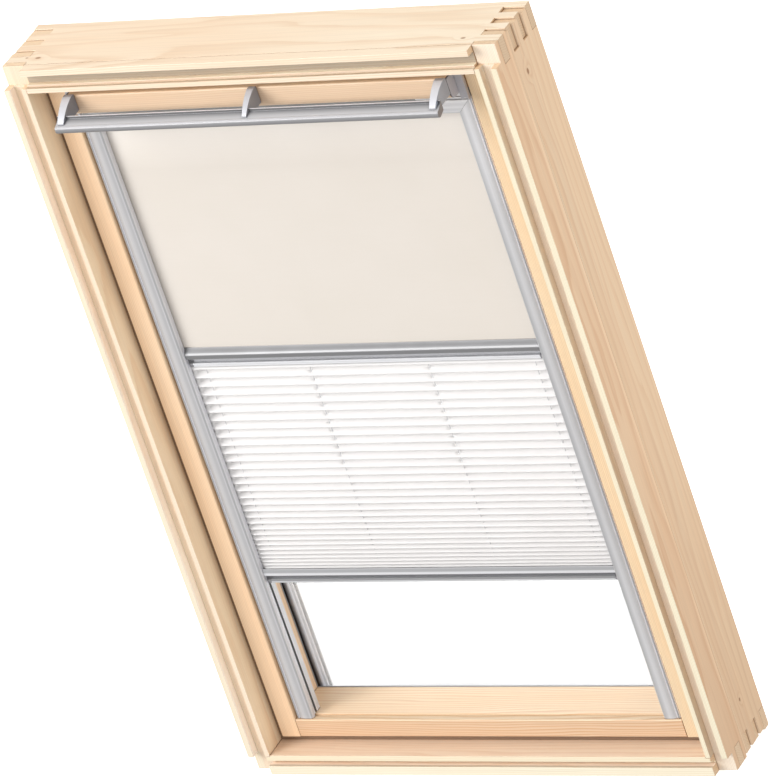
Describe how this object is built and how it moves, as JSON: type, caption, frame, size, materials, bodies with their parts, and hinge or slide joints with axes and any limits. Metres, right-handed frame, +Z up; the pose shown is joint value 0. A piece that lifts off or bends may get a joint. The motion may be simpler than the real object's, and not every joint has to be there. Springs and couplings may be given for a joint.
{
  "type": "skylight window blind",
  "caption": "Pine centre-pivot roof window with ventilation flap and control bar, carrying a blackout roller cloth over a pleated cloth that slide in aluminium side rails.",
  "frame": {"origin": "centre of the frame's underside, halfway through the frame's depth", "axes": "+X to the right seen from the room, +Y from the room to the outside, +Z up the slope"},
  "size_m": [0.78, 0.1774, 1.178],
  "materials": {
    "pine": "clear-lacquered pine, planed smooth",
    "sash_pine": "clear-lacquered pine, warmer",
    "aluminium": "satin anodised",
    "outside_grey": "matt lacquer",
    "steel": "zinc plated",
    "grey_plastic": "fine matt",
    "rubber": "matt",
    "glass": "clear",
    "spacer": "satin",
    "cream_cloth": "smooth coated blackout cloth",
    "white_cloth": "light pleated cloth"
  },
  "bodies": {
    "frame": {"frame_head": "pine", "frame_sill": "pine", "frame_left_jamb": "pine", "frame_right_jamb": "pine", "seal_head": "rubber", "seal_sill": "rubber", "seal_left": "rubber", "seal_right": "rubber", "pivot_plate_left": "steel", "pivot_plate_right": "steel", "striker_plate": "steel"},
    "sash": {"pivot_disc_left": "steel", "pivot_disc_right": "steel", "sash_left_stile": "sash_pine", "sash_right_stile": "sash_pine", "sash_top_rail": "sash_pine", "sash_bottom_rail": "sash_pine", "glazing_gasket": "rubber", "inner_pane": "glass", "glass_spacer": "spacer", "outer_pane": "glass", "cover_left": "outside_grey", "cover_right": "outside_grey", "cover_top": "outside_grey", "cover_bottom": "outside_grey", "lock_case": "steel", "flap_bearing_left": "grey_plastic", "flap_bearing_right": "grey_plastic", "rail_left": "aluminium", "rail_right": "aluminium", "blind_casing": "aluminium", "casing_cap_left": "grey_plastic", "casing_cap_right": "grey_plastic", "blackout_cloth": "cream_cloth"},
    "flap": {"ventilation_flap": "pine", "flap_cap_left": "grey_plastic", "flap_cap_right": "grey_plastic", "flap_pin_left": "steel", "flap_pin_right": "steel", "control_bar": "aluminium", "bracket_left": "aluminium", "bracket_middle": "aluminium", "bracket_right": "aluminium"},
    "latch": {"latch_bolt": "steel"},
    "roller": {"roller_tube": "aluminium", "roller_plug_left": "grey_plastic", "roller_plug_right": "grey_plastic", "wound_cloth": "cream_cloth"},
    "middle_band": {"middle_bar": "aluminium", "middle_slider_left": "grey_plastic", "middle_slider_right": "grey_plastic", "pleated_cloth": "white_cloth"},
    "bottom_band": {"bottom_bar": "aluminium", "bottom_slider_left": "grey_plastic", "bottom_slider_right": "grey_plastic"}
  },
  "joints": [
    {"name": "sash_pivot", "type": "hinge", "parent": "frame", "child": "sash", "pos_m": [0, 0.018, 0.5865], "axis": [1, 0, 0], "range_deg": [0, 160]},
    {"name": "flap_hinge", "type": "hinge", "parent": "sash", "child": "flap", "pos_m": [0, -0.0315, 1.1], "axis": [1, 0, 0], "range_deg": [0, 35]},
    {"name": "latch_slide", "type": "slide", "parent": "sash", "child": "latch", "axis": [0, 0, -1], "range_m": [0, 0.006]},
    {"name": "middle_band_slide", "type": "slide", "parent": "sash", "child": "middle_band", "axis": [0, 0, 1], "range_m": [-0.1, 0.34], "deforming": ["blackout_cloth"]},
    {"name": "bottom_band_slide", "type": "slide", "parent": "middle_band", "child": "bottom_band", "axis": [0, 0, 1], "range_m": [-0.12, 0.3], "deforming": ["pleated_cloth"]},
    {"name": "roller_spin", "type": "hinge", "parent": "sash", "child": "roller", "pos_m": [0, 0.0001, 1.0846], "axis": [1, 0, 0], "continuous": true}
  ],
  "couplings": [
    {"joint": "latch_slide", "follows": "flap_hinge", "m_per_rad": 0.0095},
    {"joint": "roller_spin", "follows": "middle_band_slide", "rad_per_m": -76.923}
  ]
}
